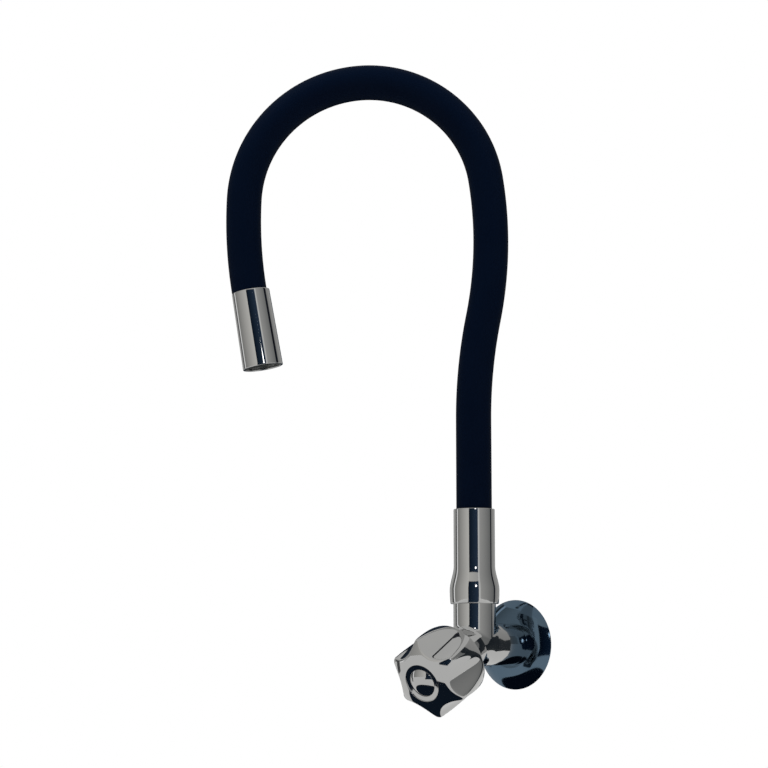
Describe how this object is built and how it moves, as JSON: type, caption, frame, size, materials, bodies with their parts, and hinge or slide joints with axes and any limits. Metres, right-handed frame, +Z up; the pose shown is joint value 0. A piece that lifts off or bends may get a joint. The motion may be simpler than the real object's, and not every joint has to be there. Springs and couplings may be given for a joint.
{
  "type": "wall-mounted flexible kitchen tap",
  "caption": "Wall-mounted kitchen tap with a black flexible gooseneck spout, chrome valve body, star knob, bell sleeve nut, wall flange and flared outlet ferrule.",
  "frame": {"origin": "on the axis of the inlet thread, at the wall face where the flange rim rests", "axes": "+Y along the inlet thread into the wall, +Z up along the spout boss, +X to the right seen from the room"},
  "size_m": [0.1412, 0.1535, 0.3872],
  "materials": {
    "chrome": "polished chrome plating",
    "brass": "turned brass",
    "zinc_steel": "zinc-plated steel",
    "black_silicone": "matt black silicone",
    "black_rubber": "black nitrile rubber",
    "red_silicone": "red silicone",
    "blue_plastic": "blue acetal",
    "white_plastic": "white acetal",
    "clear_plastic": "translucent white plastic",
    "white_ceramic": "ground ceramic",
    "steel_coil": "interlocked steel strip",
    "clear_tube": "milky polyethylene",
    "grey_plastic": "grey plastic"
  },
  "bodies": {
    "valve": {"valve_body": "chrome", "wall_flange": "chrome", "cartridge_housing": "white_plastic", "cartridge_cage": "clear_plastic", "seat_seal": "red_silicone", "fixed_disc": "white_ceramic", "cartridge_o_ring": "black_rubber"},
    "handle": {"knob": "chrome", "knob_insert": "brass", "knob_screw": "zinc_steel", "knob_cap": "chrome", "spindle": "white_plastic", "spindle_o_ring": "black_rubber", "moving_disc": "white_ceramic"},
    "sleeve": {"union_sleeve": "chrome"},
    "spout": {"tail_fitting": "chrome", "tail_o_ring_upper": "black_rubber", "tail_o_ring_lower": "black_rubber", "thrust_ring": "blue_plastic", "hose_cover": "black_silicone", "gooseneck_core": "steel_coil", "water_tube": "clear_tube"},
    "outlet": {"outlet_ferrule": "chrome", "outlet_barb": "brass", "aerator_washer": "black_rubber", "aerator_housing": "grey_plastic", "aerator_screen": "grey_plastic"}
  },
  "joints": [
    {"name": "handle_turn", "type": "hinge", "parent": "valve", "child": "handle", "pos_m": [0, -0.039, 0], "axis": [0, -0.9063, -0.4226], "range_deg": [0, 90]},
    {"name": "spout_swivel", "type": "hinge", "parent": "valve", "child": "spout", "pos_m": [0, -0.039, 0.03], "axis": [0, 0, 1], "range_deg": [-50, 150]},
    {"name": "sleeve_slide", "type": "slide", "parent": "valve", "child": "sleeve", "axis": [0, 0, 1], "range_m": [0, 0.053]},
    {"name": "outlet_bend", "type": "hinge", "parent": "spout", "child": "outlet", "pos_m": [-0.04693, -0.07838, 0.33482], "axis": [-0.6428, 0.766, 0], "range_deg": [-20, 45], "deforming": ["hose_cover", "gooseneck_core", "water_tube"]}
  ]
}
